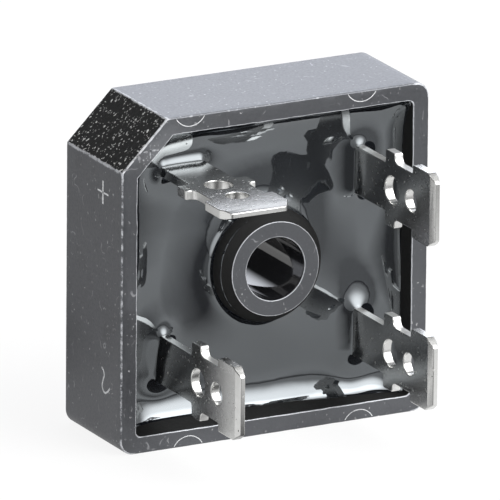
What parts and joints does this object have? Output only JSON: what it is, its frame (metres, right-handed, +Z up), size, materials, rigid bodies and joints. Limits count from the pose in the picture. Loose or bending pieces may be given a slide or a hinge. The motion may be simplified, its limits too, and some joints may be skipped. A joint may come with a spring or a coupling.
{
  "type": "bridge rectifier",
  "caption": "Square potted bridge rectifier with a chamfered polarity corner, a central fixing hole, a metal back and quick-connect tabs.",
  "frame": {"origin": "where the axis of the fixing hole meets the mounting face at the metal back", "axes": "+Z up as the part stands in the picture, +X to the right seen from the terminals, terminals and hole point along -Y"},
  "size_m": [0.0286, 0.0216, 0.0286],
  "materials": {
    "case": "moulded filled epoxy, fine grain",
    "potting": "glossy cast epoxy",
    "tab_metal": "bright tin plating",
    "base_metal": "fine brushed, plated",
    "copper": "bare copper, inside the compound",
    "silicon": "passivated silicon",
    "solder": "soft solder",
    "insulator": "insulating bond film"
  },
  "bodies": {
    "root": {"ac_lower_plate": "copper", "ac_upper_plate": "copper", "base_plate": "base_metal", "bond_sheet": "insulator", "case_shell": "case", "clip_joint_left": "solder", "clip_joint_lower": "solder", "clip_joint_right": "solder", "clip_joint_upper": "solder", "clip_left": "copper", "clip_lower": "copper", "clip_right": "copper", "clip_upper": "copper", "die_joint_left": "solder", "die_joint_lower": "solder", "die_joint_right": "solder", "die_joint_upper": "solder", "diode_die_left": "silicon", "diode_die_lower": "silicon", "diode_die_right": "silicon", "diode_die_upper": "silicon", "joint_ac_lower": "solder", "joint_ac_upper": "solder", "joint_minus": "solder", "joint_plus": "solder", "leg_joint_left": "solder", "leg_joint_lower": "solder", "leg_joint_right": "solder", "leg_joint_upper": "solder", "minus_plate": "copper", "plus_plate": "copper", "potting_compound": "potting", "terminal_ac_lower": "tab_metal", "terminal_ac_upper": "tab_metal", "terminal_minus": "tab_metal", "terminal_plus": "tab_metal"}
  },
  "joints": []
}
